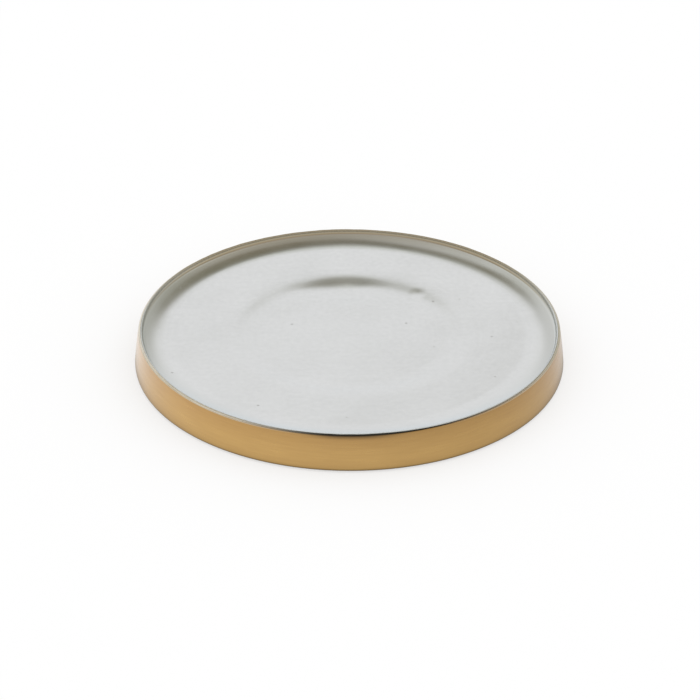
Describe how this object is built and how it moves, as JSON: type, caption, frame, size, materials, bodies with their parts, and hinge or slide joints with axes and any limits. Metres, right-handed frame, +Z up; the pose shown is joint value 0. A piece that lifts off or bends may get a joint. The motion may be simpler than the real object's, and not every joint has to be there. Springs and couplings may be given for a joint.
{
  "type": "candle plate",
  "caption": "Round shallow candle plate: a pale polished metal dish with a pressed candle seat, held in a tapered satin gold band and closed from below by a felted base.",
  "frame": {"origin": "centre of the felt's underside, on the table", "axes": "+Z up, along the plate's own axis of revolution; X and Y lie in the table and are free, because the plate is round"},
  "size_m": [0.12, 0.12, 0.0108],
  "materials": {
    "brass_satin": "satin",
    "aluminium_polished": "polished",
    "solder": "matte",
    "board": "matte",
    "steel_sheet": "satin",
    "felt": "matte"
  },
  "bodies": {
    "root": {"skirt": "brass_satin", "dish": "aluminium_polished", "rim_solder": "solder", "core": "board", "base_plate": "steel_sheet", "felt_pad": "felt"}
  },
  "joints": []
}
